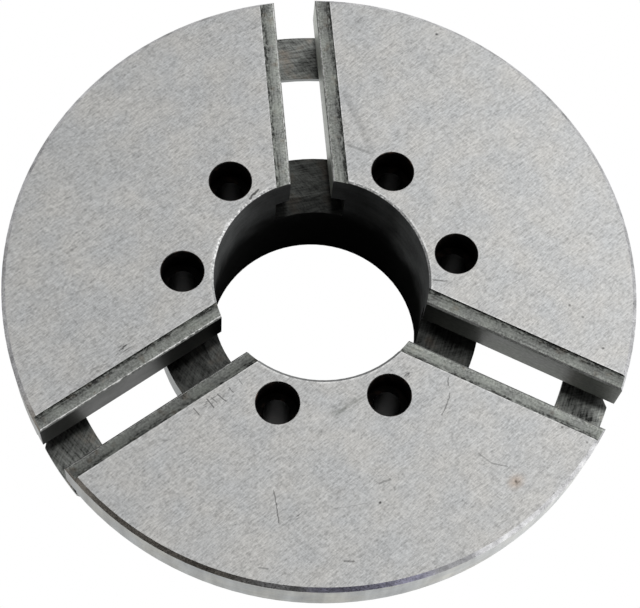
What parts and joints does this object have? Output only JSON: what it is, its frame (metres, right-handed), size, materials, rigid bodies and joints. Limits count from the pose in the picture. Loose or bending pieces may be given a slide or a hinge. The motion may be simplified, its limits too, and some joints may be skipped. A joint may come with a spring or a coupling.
{
  "type": "lathe chuck",
  "caption": "Stripped body of a three-jaw self-centring lathe chuck: round steel disc with a central bore, T-slots for jaws and key-driven pinions in its rim.",
  "frame": {"origin": "centre of the hub's rear face, on the spindle axis", "axes": "+Z out of the front face along the spindle axis, +Y along the first jaw slot"},
  "size_m": [0.3048, 0.3044, 0.086],
  "materials": {
    "body_steel": "ground face, turned and milled walls",
    "pinion_steel": "hardened, dark, oiled",
    "bush_bronze": "turned",
    "screw_black": "black oxide",
    "dowel_steel": "ground",
    "nipple_brass": "turned"
  },
  "bodies": {
    "body": {"chuck_body": "body_steel", "pinion_pilot_bush_1": "bush_bronze", "pinion_retaining_screw_1": "screw_black", "pinion_pilot_bush_2": "bush_bronze", "pinion_retaining_screw_2": "screw_black", "pinion_pilot_bush_3": "bush_bronze", "pinion_retaining_screw_3": "screw_black", "cover_dowel_pin_1": "dowel_steel", "cover_dowel_pin_2": "dowel_steel", "grease_nipple": "nipple_brass"},
    "pinion_1_body": {"pinion_1": "pinion_steel"},
    "pinion_2_body": {"pinion_2": "pinion_steel"},
    "pinion_3_body": {"pinion_3": "pinion_steel"}
  },
  "joints": [
    {"name": "pinion_1_turn", "type": "hinge", "parent": "body", "child": "pinion_1_body", "pos_m": [0.11605, 0.067, 0.0285], "axis": [0.866, 0.5, 0], "continuous": true},
    {"name": "pinion_2_turn", "type": "hinge", "parent": "body", "child": "pinion_2_body", "pos_m": [-0.11605, 0.067, 0.0285], "axis": [-0.866, 0.5, 0], "continuous": true},
    {"name": "pinion_3_turn", "type": "hinge", "parent": "body", "child": "pinion_3_body", "pos_m": [0, -0.134, 0.0285], "axis": [0, -1, 0], "continuous": true}
  ]
}
